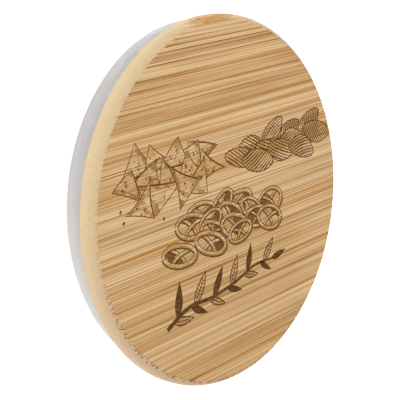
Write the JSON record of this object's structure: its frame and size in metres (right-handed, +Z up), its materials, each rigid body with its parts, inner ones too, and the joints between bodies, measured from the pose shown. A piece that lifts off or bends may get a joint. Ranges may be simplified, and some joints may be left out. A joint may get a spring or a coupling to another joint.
{
  "type": "jar lid",
  "caption": "Round laminated bamboo lid with a stepped plug and a pull-off soft ring seal, for closing a snack or dip server's bowl.",
  "frame": {"origin": "centre of the plug's underside, where the lid rests when it is laid down", "axes": "+Z up along the lid's axis, out of the top face; +X along the bamboo strips; +Y towards the top of the engraved picture"},
  "size_m": [0.15, 0.15, 0.019],
  "materials": {
    "bamboo_light": "sanded, oiled satin",
    "bamboo_mid": "sanded, oiled satin",
    "bamboo_honey": "sanded, oiled satin",
    "silicone": "smooth, cloudy, slightly see-through"
  },
  "bodies": {
    "lid": {"bamboo_strip_01": "bamboo_light", "bamboo_strip_02": "bamboo_light", "bamboo_strip_03": "bamboo_mid", "bamboo_strip_04": "bamboo_mid", "bamboo_strip_05": "bamboo_honey", "bamboo_strip_06": "bamboo_honey", "bamboo_strip_07": "bamboo_mid", "bamboo_strip_08": "bamboo_light", "bamboo_strip_09": "bamboo_light", "bamboo_strip_10": "bamboo_mid", "bamboo_strip_11": "bamboo_honey", "bamboo_strip_12": "bamboo_honey", "bamboo_strip_13": "bamboo_honey", "bamboo_strip_14": "bamboo_mid", "bamboo_strip_15": "bamboo_light", "bamboo_strip_16": "bamboo_light", "bamboo_strip_17": "bamboo_mid", "bamboo_strip_18": "bamboo_honey", "bamboo_strip_19": "bamboo_honey", "bamboo_strip_20": "bamboo_mid", "bamboo_strip_21": "bamboo_mid", "bamboo_strip_22": "bamboo_light", "bamboo_strip_23": "bamboo_light", "bamboo_strip_24": "bamboo_mid", "bamboo_strip_25": "bamboo_honey", "bamboo_strip_26": "bamboo_honey", "bamboo_strip_27": "bamboo_mid", "bamboo_strip_28": "bamboo_light", "bamboo_strip_29": "bamboo_light", "bamboo_strip_30": "bamboo_light"},
    "seal": {"silicone_seal": "silicone"}
  },
  "joints": [
    {"name": "lid_out_of_seal", "type": "slide", "parent": "seal", "child": "lid", "axis": [0, 0, 1], "range_m": [0, 0.03]}
  ]
}
